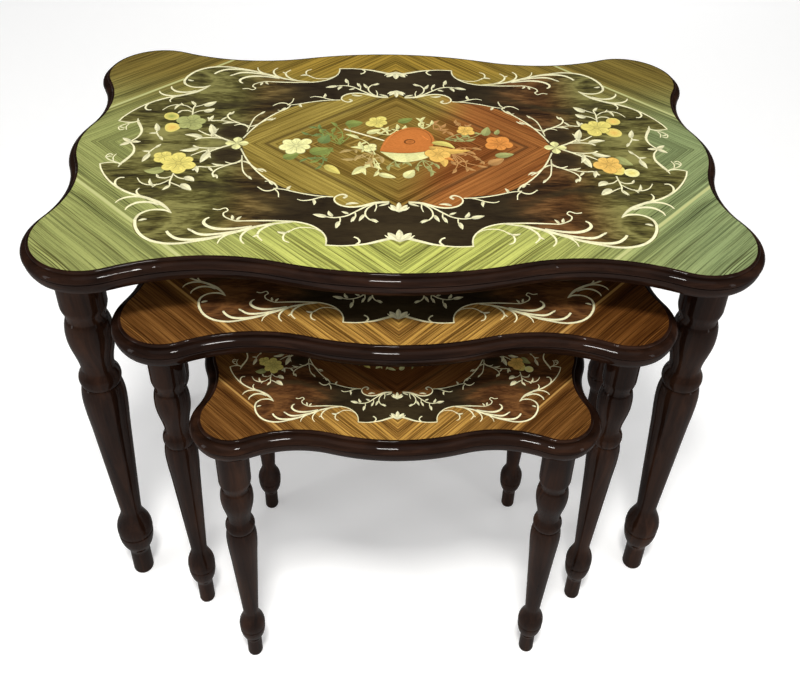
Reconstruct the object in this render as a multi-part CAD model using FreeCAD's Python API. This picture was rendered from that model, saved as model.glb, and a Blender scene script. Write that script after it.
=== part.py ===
"""A nest of three marquetry tables: large, middle and small, each free to slide out from under the next.

Every table is a scalloped board with a moulded solid-wood lipping, three fitted sheets of face veneer and
four turned legs. Each leg screws up into a threaded insert in the board on its own hanger bolt.
Frame: +Z up, floor at Z = 0, long sides along X, the front at -Y. The origin is on the floor at the centre
of the whole nest, as it stands with the smaller tables part way out. Lengths are in millimetres.
"""
import FreeCAD
import Part

import math
import os

UP = FreeCAD.Vector(0, 0, 1)

# The three tables: plan scale, height, leg thickness scale, how far the lipping stands out beyond the veneer,
# the middle of a leg at the floor and under the board, and how far the table is pulled out to the front.
TABLES = {
    "large": {"scale": 1.0, "height": 486.0, "leg_scale": 1.0, "lipping": 7.8,
              "foot": (283.0, 121.0), "leg_top": (266.5, 115.5), "pulled_out": 0.0},
    "middle": {"scale": 0.779, "height": 424.0, "leg_scale": 0.76, "lipping": 9.0,
               "foot": (205.0, 107.0), "leg_top": (197.0, 99.5), "pulled_out": 53.5},
    "small": {"scale": 0.564, "height": 354.0, "leg_scale": 0.70, "lipping": 10.0,
              "foot": (145.0, 93.5), "leg_top": (138.0, 87.0), "pulled_out": 130.0},
}

# Plan outline of the face veneer on the large table, first quadrant. The others are this one, scaled.
LONG_SIDE_BULGE_Y = 182.0
LONG_SIDE_HOLLOW = (144.0, 162.0)
CORNER_CENTRE = (239.0, 135.0)
CORNER_RADIUS = 47.0
END_HOLLOW = (270.0, 68.0)
END_BULGE_X = 283.0

# Section of the top. The lipping carries the moulding outside the veneer and runs in under it.
TOP_THICKNESS = 18.0
VENEER_THICKNESS = 0.8
LIPPING_INSIDE = 4.5
RIM_WIDTH = 0.8
RIM_BEAD = (2.6, 1.7)
QUIRK_DEPTH = 0.8
SWELL_DOWN = 7.4
GROOVE_DOWN = (8.1, 8.9)
GROOVE_DEPTH = 1.3
FASCIA_STEP = 0.5
FASCIA_BACK = 2.2

# Leg fixings.
BOLT_RADIUS = 4.0
BOLT_IN_LEG = 34.0
INSERT_RADIUS = 6.0
INSERT_LENGTH = 10.5
INSERT_FLANGE_RADIUS = 8.5
INSERT_FLANGE = 1.2

# Turned leg of the large table: (share of the leg's height, radius) along each smooth stretch, floor first.
LEG_PEG = [(0.0, 10.0), (0.006, 10.9)]
LEG_PEG_TOP = (0.078, 10.7)
LEG_BELL = [(0.078, 10.7), (0.093, 12.4), (0.106, 14.9), (0.122, 16.9), (0.147, 18.1)]
LEG_ANKLE = [(0.153, 18.1), (0.170, 18.3), (0.186, 17.0), (0.200, 14.6), (0.215, 12.1), (0.238, 10.9)]
LEG_TAPER_TOP = (0.520, 17.9)
LEG_SHOULDER = [(0.520, 17.9), (0.560, 19.2), (0.600, 20.0), (0.626, 19.4), (0.643, 17.7)]
LEG_COLLAR = [(0.649, 17.7), (0.656, 18.7), (0.665, 18.9), (0.674, 17.9), (0.682, 16.0), (0.691, 14.8)]
LEG_VASE = [(0.691, 14.8), (0.712, 15.6), (0.737, 18.0), (0.762, 20.1), (0.784, 20.6), (0.803, 19.8),
            (0.815, 18.4)]
LEG_CAPITAL = [(0.820, 17.2), (0.833, 17.9), (0.843, 19.3), (0.851, 20.0)]
CAPITAL_RADIUS = 20.0
LEG_GROOVE = 0.8

# Outline of the dark cartouche on the large table, third quadrant made positive: x along, y across.
CARTOUCHE_FRONT = [(0, 138), (12, 141), (27, 146.5), (43, 149), (57.5, 147)]
CARTOUCHE_STEP = [(57.5, 147), (59.5, 135), (70, 122.5), (86, 118), (100, 118.5)]
CARTOUCHE_LEAF = [(100, 118.5), (128, 132), (150, 143), (175, 148.5), (196, 144), (208, 131), (210.5, 117),
                  (203, 107), (192, 104), (183, 108)]
CARTOUCHE_SPUR = [(183, 108), (198, 93), (222, 81), (243, 64), (253.5, 46), (256, 36)]
CARTOUCHE_LEDGE = [(256, 36), (249, 34.5), (241, 37)]
CARTOUCHE_END = [(241, 37), (235, 28), (231.5, 17), (234.5, 7), (241, 0)]

# Outline of the medallion, on the same terms, from its end to the middle of its long side.
MEDALLION_SIDE = [(139, 0), (134.5, 20), (123, 43), (106, 62), (84, 76), (58, 81.5), (53.5, 84)]
MEDALLION_CURL = [(53.5, 84), (51, 91), (42.5, 96.5), (31, 95.5), (19, 90.5), (8, 89)]
MEDALLION_POINT = [(8, 89), (0, 99)]


def vector(x, y, z=0.0):
    return FreeCAD.Vector(x, y, z)


class Arc:
    """One stretch of the plan outline: part of a circle, bulging out of the table or hollow into it."""

    def __init__(self, centre, radius, start, end, hollow):
        self.centre = centre
        self.radius = radius
        self.start = start
        self.end = end
        self.hollow = hollow

    def radius_at(self, offset):
        return self.radius - offset if self.hollow else self.radius + offset

    def point(self, angle, offset, z):
        radius = self.radius_at(offset)
        return vector(self.centre[0] + radius * math.cos(angle), self.centre[1] + radius * math.sin(angle), z)

    def edge(self, offset, z):
        middle = (self.start + self.end) / 2
        points = [self.point(angle, offset, z) for angle in (self.start, middle, self.end)]
        return Part.Arc(*points).toShape()

    def mirrored(self, sign_x, sign_y):
        """The same arc in another quadrant; one mirror also swaps its ends, to keep the way round."""
        start, end = self.start, self.end
        if sign_x < 0:
            start, end = math.pi - start, math.pi - end
        if sign_y < 0:
            start, end = -start, -end
        if sign_x * sign_y < 0:
            start, end = end, start
        centre = (self.centre[0] * sign_x, self.centre[1] * sign_y)
        return Arc(centre, self.radius, start, end, self.hollow)

    def split(self, angle):
        first = Arc(self.centre, self.radius, self.start, angle, self.hollow)
        second = Arc(self.centre, self.radius, angle, self.end, self.hollow)
        return first, second


def hollow_radius(touch, corner_across, corner_along):
    """Radius of a hollow that touches its lowest point and the corner's circle."""
    rise = touch[1] - corner_across
    run = corner_along - touch[0]
    return (run ** 2 + rise ** 2 - CORNER_RADIUS ** 2) / (2 * (CORNER_RADIUS - rise))


def bulge_radius(bulge, touch, radius):
    """Radius of the bulge, centred on the table's middle line, that touches the hollow beside it."""
    gap = touch[1] - bulge + radius
    return (touch[0] ** 2 + gap ** 2 - radius ** 2) / (2 * (radius - gap))


def direction(start, end):
    return math.atan2(end[1] - start[1], end[0] - start[0])


def quadrant(scale):
    """The outline's arcs from the middle of the right-hand end to the middle of the back, anticlockwise."""
    long_hollow = hollow_radius(LONG_SIDE_HOLLOW, CORNER_CENTRE[1], CORNER_CENTRE[0])
    long_bulge = bulge_radius(LONG_SIDE_BULGE_Y, LONG_SIDE_HOLLOW, long_hollow)
    end_touch = (END_HOLLOW[1], END_HOLLOW[0])
    end_hollow = hollow_radius(end_touch, CORNER_CENTRE[0], CORNER_CENTRE[1])
    end_bulge = bulge_radius(END_BULGE_X, end_touch, end_hollow)

    end_centre = (END_BULGE_X - end_bulge, 0.0)
    notch_centre = (END_HOLLOW[0] + end_hollow, END_HOLLOW[1])
    waist_centre = (LONG_SIDE_HOLLOW[0], LONG_SIDE_HOLLOW[1] + long_hollow)
    long_centre = (0.0, LONG_SIDE_BULGE_Y - long_bulge)

    notch_start = direction(end_centre, notch_centre) + math.pi
    notch_end = direction(notch_centre, CORNER_CENTRE) % (2 * math.pi)
    corner_end = direction(CORNER_CENTRE, waist_centre)
    waist_end = direction(waist_centre, long_centre)
    arcs = [
        Arc(end_centre, end_bulge, 0.0, notch_start - math.pi, False),
        Arc(notch_centre, end_hollow, notch_start, notch_end, True),
        Arc(CORNER_CENTRE, CORNER_RADIUS, notch_end - math.pi, corner_end, False),
        Arc(waist_centre, long_hollow, corner_end - math.pi, waist_end, True),
        Arc(long_centre, long_bulge, waist_end + math.pi, math.pi / 2, False),
    ]
    for arc in arcs:
        arc.centre = (arc.centre[0] * scale, arc.centre[1] * scale)
        arc.radius *= scale
    return arcs


def outline(scale):
    """All the arcs of the outline, anticlockwise from the middle of the right-hand end."""
    first = quadrant(scale)
    arcs = list(first)
    arcs += [arc.mirrored(-1, 1) for arc in reversed(first)]
    arcs += [arc.mirrored(-1, -1) for arc in first]
    arcs += [arc.mirrored(1, -1) for arc in reversed(first)]
    return arcs


def plate(wire, z, thickness):
    return Part.Face(wire).extrude(vector(0, 0, thickness)).translated(vector(0, 0, z))


def outline_plate(scale, offset, z, thickness):
    wire = Part.Wire([arc.edge(offset, 0.0) for arc in outline(scale)])
    return plate(wire, z, thickness)


def lipping_section(top, out, point):
    """Section of the lipping, standing out that far; point(out, z) places a point in the radial plane."""
    face = top - VENEER_THICKNESS
    bottom = top - TOP_THICKNESS
    bead_out, bead_down = RIM_BEAD
    swell_top = bead_down + QUIRK_DEPTH
    swell_rise = SWELL_DOWN - swell_top
    fascia_out = out - FASCIA_STEP
    fascia_mid = (GROOVE_DOWN[1] + TOP_THICKNESS) / 2

    def line(a, b):
        return Part.LineSegment(point(*a), point(*b)).toShape()

    def arc(a, b, c):
        return Part.Arc(point(*a), point(*b), point(*c)).toShape()

    rim_end = (RIM_WIDTH, top)
    bead_end = (bead_out, top - bead_down)
    bead_middle = (RIM_WIDTH + (bead_out - RIM_WIDTH) * 0.72, top - bead_down * 0.30)
    swell_start = (bead_out, top - swell_top)
    swell_middle = (bead_out + (out - bead_out) * 0.66, top - swell_top - swell_rise * 0.30)
    swell_end = (out, top - SWELL_DOWN)
    groove = [(out, top - GROOVE_DOWN[0] + 0.3), (out - GROOVE_DEPTH, top - GROOVE_DOWN[0]),
              (out - GROOVE_DEPTH, top - GROOVE_DOWN[1]), (fascia_out, top - GROOVE_DOWN[1])]
    toe = (fascia_out - FASCIA_BACK, bottom)
    return Part.Wire([
        line((-LIPPING_INSIDE, face), (0.0, face)),
        line((0.0, face), (0.0, top)),
        line((0.0, top), rim_end),
        arc(rim_end, bead_middle, bead_end),
        line(bead_end, swell_start),
        arc(swell_start, swell_middle, swell_end),
        line(swell_end, groove[0]),
        *[line(groove[i], groove[i + 1]) for i in range(3)],
        arc(groove[3], (fascia_out - FASCIA_BACK * 0.22, top - fascia_mid), toe),
        line(toe, (-LIPPING_INSIDE, bottom)),
        line((-LIPPING_INSIDE, bottom), (-LIPPING_INSIDE, face)),
    ])


def lipping_stretch(arc, top, out):
    """The lipping along one arc, turned about that arc's own centre."""
    section = lipping_section(top, out, lambda outward, z: arc.point(arc.start, outward, z))
    turn = math.degrees(arc.end - arc.start)
    return Part.Face(section).revolve(vector(*arc.centre), UP, turn)


def lipping(scale, top, out):
    """Four lengths of lipping, mitred across the middle of the corners."""
    per_quadrant = len(quadrant(scale))
    corner = 2
    arcs = outline(scale)
    pieces = {"right": [], "back": [], "left": [], "front": []}
    order = ["right", "back", "left", "front", "right"]
    for number in range(4):
        stretch = arcs[number * per_quadrant:(number + 1) * per_quadrant]
        cut = corner if number % 2 == 0 else per_quadrant - 1 - corner
        middle = (stretch[cut].start + stretch[cut].end) / 2
        before, after = stretch[cut].split(middle)
        pieces[order[number]] += stretch[:cut] + [before]
        pieces[order[number + 1]] += [after] + stretch[cut + 1:]
    solids = {}
    for side, stretches in pieces.items():
        parts = [lipping_stretch(arc, top, out) for arc in stretches]
        solids[side] = parts[0].fuse(parts[1:]).removeSplitter()
    return solids


def smooth(points):
    """A smooth edge through the points, or a straight one between two."""
    if len(points) == 2:
        return Part.LineSegment(*points).toShape()
    spline = Part.BSplineCurve()
    spline.interpolate(points)
    return spline.toShape()


def curve(points, scale, sign_x, sign_y):
    return smooth([vector(x * scale * sign_x, y * scale * sign_y) for x, y in points])


def figure(stretches, scale):
    """A closed outline from the stretches of one quadrant, mirrored into all four."""
    edges = []
    for sign_x, sign_y in ((-1, -1), (1, -1), (1, 1), (-1, 1)):
        edges += [curve(points, scale, sign_x, sign_y) for points in stretches]
    return Part.Wire(Part.__sortEdges__(edges))


def cartouche_wire(scale):
    return figure([CARTOUCHE_FRONT, CARTOUCHE_STEP, CARTOUCHE_LEAF, CARTOUCHE_SPUR, CARTOUCHE_LEDGE,
                   CARTOUCHE_END], scale)


def medallion_wire(scale):
    return figure([MEDALLION_SIDE, MEDALLION_CURL, MEDALLION_POINT], scale)


def leg_profile(length, thick):
    """Half section of a turned leg standing on the origin, closed along its axis."""

    def at(share, radius):
        return vector(radius * thick, 0, share * length)

    def turned(points):
        return smooth([at(*point) for point in points])

    def groove(below, above):
        """A fine V cut between two stretches."""
        bottom = ((below[0] + above[0]) / 2, below[1] - LEG_GROOVE)
        return [turned([below, bottom]), turned([bottom, above])]

    top = (1.0, CAPITAL_RADIUS)
    return Part.Wire([
        turned([(0.0, 0.0), LEG_PEG[0]]),
        turned(LEG_PEG),
        turned([LEG_PEG[-1], LEG_PEG_TOP]),
        turned(LEG_BELL),
        *groove(LEG_BELL[-1], LEG_ANKLE[0]),
        turned(LEG_ANKLE),
        turned([LEG_ANKLE[-1], LEG_TAPER_TOP]),
        turned(LEG_SHOULDER),
        *groove(LEG_SHOULDER[-1], LEG_COLLAR[0]),
        turned(LEG_COLLAR),
        turned(LEG_VASE),
        turned([LEG_VASE[-1], LEG_CAPITAL[0]]),
        turned(LEG_CAPITAL),
        turned([LEG_CAPITAL[-1], top]),
        turned([top, (1.0, 0.0)]),
        turned([(1.0, 0.0), (0.0, 0.0)]),
    ])


def cylinder(radius, height, base):
    return Part.makeCylinder(radius, height, base)


def make_leg(length, thick, foot, top):
    """A leg that leans from foot to top, trimmed level at both ends and bored upright for its bolt."""
    overrun = vector(0, 0, 6.0)
    turned = Part.Face(leg_profile(length, thick)).revolve(vector(0, 0, 0), UP, 360)
    head = cylinder(CAPITAL_RADIUS * thick, overrun.z, vector(0, 0, length))
    toe = cylinder(LEG_PEG[0][1] * thick, overrun.z, overrun * -1)
    turned = turned.fuse([head, toe]).removeSplitter()
    turned.Placement = FreeCAD.Placement(foot, FreeCAD.Rotation(UP, top - foot))
    slab = Part.makeBox(400, 400, length, foot - vector(200, 200, 0))
    bolt_hole = cylinder(BOLT_RADIUS, BOLT_IN_LEG, top - vector(0, 0, BOLT_IN_LEG))
    return turned.common(slab).cut(bolt_hole)


def insert_shape(base):
    """A flanged threaded insert, pressed up into the board with its flange let in flush."""
    barrel = cylinder(INSERT_RADIUS, INSERT_LENGTH, base)
    flange = cylinder(INSERT_FLANGE_RADIUS, INSERT_FLANGE, base)
    return barrel.fuse(flange).removeSplitter()


def make_table(name):
    """Every piece of one table, about its own centre, as {part: shape}."""
    facts = TABLES[name]
    scale, height, thick = facts["scale"], facts["height"], facts["leg_scale"]
    length = height - TOP_THICKNESS
    face = height - VENEER_THICKNESS
    parts = {}

    legs, bolts, inserts, pockets = {}, [], [], []
    for depth, sign_y in (("front", -1), ("back", 1)):
        for side, sign_x in (("left", -1), ("right", 1)):
            foot = vector(sign_x * facts["foot"][0], sign_y * facts["foot"][1])
            top = vector(sign_x * facts["leg_top"][0], sign_y * facts["leg_top"][1], length)
            legs[f"leg_{depth}_{side}"] = make_leg(length, thick, foot, top)
            bolt = cylinder(BOLT_RADIUS, BOLT_IN_LEG + INSERT_LENGTH, top - vector(0, 0, BOLT_IN_LEG))
            insert = insert_shape(top)
            bolts.append(bolt)
            pockets.append(insert)
            inserts.append(insert.cut(bolt))

    board = outline_plate(scale, -LIPPING_INSIDE, length, TOP_THICKNESS - VENEER_THICKNESS)
    parts["board"] = board.cut(pockets)
    for side, solid in lipping(scale, height, facts["lipping"]).items():
        parts[f"lipping_{side}"] = solid

    sheet = outline_plate(scale, 0.0, face, VENEER_THICKNESS)
    cartouche = plate(cartouche_wire(scale), face, VENEER_THICKNESS)
    medallion = plate(medallion_wire(scale), face, VENEER_THICKNESS)
    parts["veneer_border"] = sheet.cut(cartouche)
    parts["veneer_cartouche"] = cartouche.cut(medallion)
    parts["veneer_medallion"] = medallion

    parts.update(legs)
    parts["leg_bolts"] = Part.makeCompound(bolts)
    parts["leg_inserts"] = Part.makeCompound(inserts)
    return parts


def reach(name):
    """How far a table reaches from its own centre to the front or back."""
    facts = TABLES[name]
    return LONG_SIDE_BULGE_Y * facts["scale"] + facts["lipping"]


def main():
    os.makedirs("parts", exist_ok=True)
    front = TABLES["small"]["pulled_out"] + reach("small")
    back = reach("large")
    for name, facts in TABLES.items():
        place = vector(0, (front - back) / 2 - facts["pulled_out"], 0)
        for part, shape in make_table(name).items():
            placed = shape.translated(place)
            node = f"{name}_{part}"
            placed.exportStep(f"parts/{node}.step")
            solids = len(placed.Solids)
            print(f"{node:24s} solids {solids} valid {placed.isValid()} volume {placed.Volume / 1000:8.2f} cm3")
        print(f"{name} centre y {place.y:.3f}")


main()
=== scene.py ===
"""The looks of a nest of three marquetry tables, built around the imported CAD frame.

Lengths are in metres. The marquetry and the veneers' patterns are in millimetres on the plan of the large
table, from its centre, with x along the long side and y towards the back, and are fitted to each table.
"""

import math
import random

import bpy
from mathutils import Matrix, Vector


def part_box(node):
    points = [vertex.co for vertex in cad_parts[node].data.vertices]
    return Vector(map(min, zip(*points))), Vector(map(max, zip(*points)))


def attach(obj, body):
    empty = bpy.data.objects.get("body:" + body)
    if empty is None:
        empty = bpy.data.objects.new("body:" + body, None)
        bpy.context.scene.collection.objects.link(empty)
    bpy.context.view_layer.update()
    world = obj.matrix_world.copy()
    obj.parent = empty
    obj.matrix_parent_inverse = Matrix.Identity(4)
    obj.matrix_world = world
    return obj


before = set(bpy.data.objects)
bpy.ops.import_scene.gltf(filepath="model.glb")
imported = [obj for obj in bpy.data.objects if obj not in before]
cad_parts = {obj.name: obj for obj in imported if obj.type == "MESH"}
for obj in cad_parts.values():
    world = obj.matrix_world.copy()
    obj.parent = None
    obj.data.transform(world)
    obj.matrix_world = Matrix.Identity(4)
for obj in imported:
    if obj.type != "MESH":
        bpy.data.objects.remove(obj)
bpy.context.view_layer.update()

MM = 0.001
TABLE_NAMES = ("large", "middle", "small")

# In millimetres, how far the marquetry lies above the veneer, and each layer above the one before.
INLAY_LIFT = 0.03
LAYER_LIFT = 0.024
# Within a layer the pieces take turns at this many heights, so that no two that meet lie in one plane.
PIECE_TURNS = 12
# Stems and small leaves are laid a little narrower than the widths given for them.
STROKE_SLIMMING = 0.9
LEAF_SLIMMING = 0.84

# The bouquet's size against the large table's, on top of the table's own scale.
BOUQUET_SIZES = {"large": 1.0, "middle": 0.82, "small": 0.82}

# Colours of the inlay woods.
CREAM = (0.84, 0.81, 0.52)
PALE = (0.80, 0.79, 0.37)
YELLOW = (0.72, 0.63, 0.17)
GOLD = (0.76, 0.48, 0.12)
ORANGE = (0.68, 0.27, 0.06)
PEAR = (0.50, 0.165, 0.038)
TAN = (0.50, 0.37, 0.14)
ROSE = (0.52, 0.28, 0.10)
GREEN = (0.24, 0.30, 0.075)
SAGE = (0.38, 0.40, 0.15)
BLUE_GREEN = (0.18, 0.26, 0.085)
SCORCH = (0.035, 0.020, 0.010)


def read_tables():
    """Where each table's veneer is: centre, height and size against the large one."""
    tables = {}
    large_low, large_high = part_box("large_veneer_border")
    for name in TABLE_NAMES:
        low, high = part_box(f"{name}_veneer_border")
        tables[name] = {
            "centre": (low.y + high.y) / 2,
            "top": high.z,
            "scale": (high.x - low.x) / (large_high.x - large_low.x),
        }
    return tables


TABLES = read_tables()


# ---------------------------------------------------------------- materials

def toned(colour, level):
    """The colour, lighter or darker."""
    return tuple(channel * level for channel in colour)


class Shader:
    """A material with a Principled shader, and short ways to add nodes to it."""

    def __init__(self, name):
        self.material = bpy.data.materials.new(name)
        self.material.use_nodes = True
        self.tree = self.material.node_tree
        self.surface = self.tree.nodes["Principled BSDF"]

    def node(self, kind, inputs=(), **settings):
        made = self.tree.nodes.new(f"ShaderNode{kind}")
        for key, value in settings.items():
            setattr(made, key, value)
        for key, value in dict(inputs).items():
            self.feed(made.inputs[key], value)
        return made

    def feed(self, socket, value):
        if isinstance(value, bpy.types.NodeSocket):
            self.tree.links.new(value, socket)
        elif isinstance(value, tuple) and len(value) == 3 and socket.type == "RGBA":
            socket.default_value = (*value, 1.0)
        else:
            socket.default_value = value

    def math(self, operation, first, second=0.0):
        return self.node("Math", {0: first, 1: second}, operation=operation).outputs[0]

    def times(self, first, second):
        return self.math("MULTIPLY", first, second)

    def plus(self, first, second):
        return self.math("ADD", first, second)

    def minus(self, first, second):
        return self.math("SUBTRACT", first, second)

    def magnitude(self, value):
        return self.math("ABSOLUTE", value)

    def rest(self, value):
        """One less the value."""
        return self.minus(1.0, value)

    def scaled(self, value, low, high):
        """0 at low, 1 at high, smooth between."""
        made = self.node("MapRange", {"Value": value, "From Min": low, "From Max": high},
                         interpolation_type="SMOOTHSTEP")
        return made.outputs["Result"]

    def mix(self, share, first, second, blend="MIX"):
        made = self.node("Mix", data_type="RGBA", blend_type=blend)
        self.feed(made.inputs["Factor"], share)
        self.feed(made.inputs[6], first)
        self.feed(made.inputs[7], second)
        return made.outputs[2]

    def tinted(self, share, colour, tint):
        """The colour, multiplied by the tint to the given share."""
        return self.mix(share, colour, tint, "MULTIPLY")

    def ramp(self, value, stops):
        made = self.node("ValToRGB", {"Fac": value})
        elements = made.color_ramp.elements
        while len(elements) < len(stops):
            elements.new(0.5)
        for element, (place, colour) in zip(elements, stops):
            element.position = place
            element.color = (*colour, 1.0)
        return made.outputs["Color"]

    def noise(self, vector, scale=1.0, detail=2.0, roughness=0.5, distortion=0.0):
        made = self.node("TexNoise", {"Vector": vector, "Scale": scale, "Detail": detail,
                                      "Roughness": roughness, "Distortion": distortion})
        return made.outputs["Fac"]

    def vector(self, x, y, z=0.0):
        return self.node("CombineXYZ", {"X": x, "Y": y, "Z": z}).outputs[0]

    def position(self):
        return self.node("TexCoord").outputs["Object"]

    def stretched_position(self, factors):
        made = self.node("VectorMath", {0: self.position(), 1: factors}, operation="MULTIPLY")
        return made.outputs["Vector"]

    def finish(self, colour, roughness, bump=None, strength=0.1, distance=0.0002,
               coat=0.0, coat_roughness=0.06, coat_ior=1.35, specular=0.2):
        self.feed(self.surface.inputs["Base Color"], colour)
        self.feed(self.surface.inputs["Roughness"], roughness)
        self.surface.inputs["Coat Weight"].default_value = coat
        self.surface.inputs["Coat Roughness"].default_value = coat_roughness
        self.surface.inputs["Coat IOR"].default_value = coat_ior
        self.surface.inputs["Specular IOR Level"].default_value = specular
        if bump is not None:
            made = self.node("Bump", {"Height": bump, "Strength": strength, "Distance": distance})
            self.feed(self.surface.inputs["Normal"], made.outputs["Normal"])
        return self.material

    def finish_top(self, colour, bump, strength):
        """Satin wood under a thin coat of polish, as on the tables' tops."""
        return self.finish(colour, 0.42, bump, strength, coat=0.4, coat_roughness=0.10, specular=0.0)


def plan(shader, table):
    """The shader's place on the large table's plan in millimetres, and the same without its signs."""
    place = shader.node("SeparateXYZ", {0: shader.position()}).outputs
    grow = 1 / MM / table["scale"]
    x = shader.times(place["X"], grow)
    y = shader.times(shader.minus(place["Y"], table["centre"]), grow)
    return x, y, shader.magnitude(x), shader.magnitude(y)


def stretched_noise(shader, across, along, frequencies, slice_place, **settings):
    """Noise with one frequency across the grain and another along it."""
    x = shader.times(across, frequencies[0])
    y = shader.times(along, frequencies[1])
    spot = shader.vector(x, y, slice_place)
    return shader.noise(spot, **settings)


# Growth lines leave the straight by up to about this many millimetres.
GRAIN_WANDER = 7.0
# Broad bands, streaks and fibres of striped veneer: frequency across, frequency along, detail, share.
GRAIN_LAYERS = (
    (0.055, 0.0010, 1.0, 0.30),
    (0.36, 0.0030, 2.0, 0.36),
    (1.40, 0.0160, 3.0, 0.34),
)


def wandered(shader, across, along, seed):
    """The distance across the grain, shifted a little from place to place."""
    wander = stretched_noise(shader, across, along, (0.012, 0.007), seed, detail=1.0)
    return shader.plus(across, shader.times(wander, GRAIN_WANDER))


def striped_grain(shader, across, along, seed):
    """The stripes of straight-grained veneer, 0 dark to 1 light."""
    moved = wandered(shader, across, along, seed)
    total = 0.0
    for spacing, stretch, detail, share in GRAIN_LAYERS:
        layer = stretched_noise(shader, moved, along, (spacing, stretch), seed + spacing, detail=detail)
        total = shader.plus(total, shader.times(layer, share))
    return total


def dark_lines(shader, across, along, seed):
    """The dark growth lines of the striped veneer, 0 to 1."""
    moved = wandered(shader, across, along, seed)
    wide = stretched_noise(shader, moved, along, (0.16, 0.0025), seed + 9.0, detail=3.0, roughness=0.62)
    thin = stretched_noise(shader, moved, along, (0.62, 0.0045), seed + 4.0, detail=1.0)
    wide = shader.times(shader.scaled(wide, 0.54, 0.68), 0.75)
    return shader.math("MAXIMUM", wide, shader.scaled(thin, 0.59, 0.67))


def pores(shader, across, along):
    """Short dark pores along the grain, 0 to 1."""
    fine = stretched_noise(shader, across, along, (2.4, 0.22), 3.0, detail=1.0)
    return shader.scaled(fine, 0.60, 0.72)


# Colours of the woods, from the dark parts of their figure to the light ones. In the green and olive ones of
# the large table the green is a painted green reflection over the wood's own colour.
BORDER_BROWN = [(0.36, (0.026, 0.009, 0.003)), (0.46, (0.078, 0.030, 0.007)),
                (0.54, (0.155, 0.066, 0.016)), (0.66, (0.275, 0.132, 0.032))]
BORDER_WOOD_AND_GREEN_REFLECTION = [(0.36, (0.060, 0.066, 0.020)), (0.45, (0.165, 0.180, 0.058)),
                (0.54, (0.285, 0.310, 0.100)), (0.68, (0.385, 0.410, 0.145))]
BURR_WOOD_AND_GREEN_REFLECTION = [(0.41, (0.018, 0.014, 0.006)), (0.49, (0.082, 0.072, 0.020)), (0.58, (0.225, 0.210, 0.068))]
BURR_RED = [(0.41, (0.016, 0.006, 0.003)), (0.50, (0.085, 0.030, 0.010)), (0.60, (0.200, 0.078, 0.027))]
BURR_BROWN = [(0.34, (0.020, 0.008, 0.004)), (0.47, (0.060, 0.024, 0.009)), (0.60, (0.180, 0.078, 0.024))]
BURR_BLACK = [(0.35, (0.011, 0.007, 0.004)), (0.65, (0.044, 0.031, 0.014))]
MEDALLION_WOOD_AND_GREEN_REFLECTION = [(0.36, (0.075, 0.050, 0.009)), (0.47, (0.225, 0.160, 0.030)),
                   (0.64, (0.480, 0.365, 0.085))]
MEDALLION_RED = [(0.36, (0.080, 0.024, 0.006)), (0.47, (0.235, 0.080, 0.019)),
                 (0.64, (0.440, 0.180, 0.046))]
MEDALLION_BROWN = [(0.32, (0.040, 0.014, 0.005)), (0.46, (0.120, 0.045, 0.012)),
                   (0.64, (0.240, 0.105, 0.028))]
POLISH_BLACK = [(0.30, (0.0085, 0.0038, 0.0025)), (0.52, (0.0190, 0.0082, 0.0050)),
                (0.72, (0.0400, 0.0170, 0.0098))]
BOARD_BROWN = [(0.30, (0.030, 0.013, 0.007)), (0.55, (0.075, 0.034, 0.017)), (0.75, (0.125, 0.062, 0.032))]
FLOOR_WHITE = [(0.3, (0.90, 0.90, 0.895)), (0.7, (0.92, 0.92, 0.915))]

# Seeds of the striped grain, so that the border and the medallion differ.
BORDER_SEED = 1.0
MEDALLION_SEED = 7.0
# The light line across each corner of the border, as |x| + |y|.
CORNER_LINE = 331.0
# The medallion's diamonds, as weights of |x| and |y|, and the dark seam around the inner one.
MEDALLION_SLANT = (0.92, 1.06)
MEDALLION_SEAM = 108.0
# Redder parts of the large table's cartouche: place along x, inner reach, outer reach, share.
RED_PARTS = ((118.0, 20.0, 75.0, 0.85), (-110.0, 12.0, 45.0, 0.5))
# The dark eye in each quarter of the cartouche.
EYE_PLACE = (150.0, 20.0)
# The dark curved band behind the side flowers: where it is nearest to the long middle line, and its curve.
BAND_NEAREST = (160.0, 73.0)
BAND_CURVE = 0.008


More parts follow.
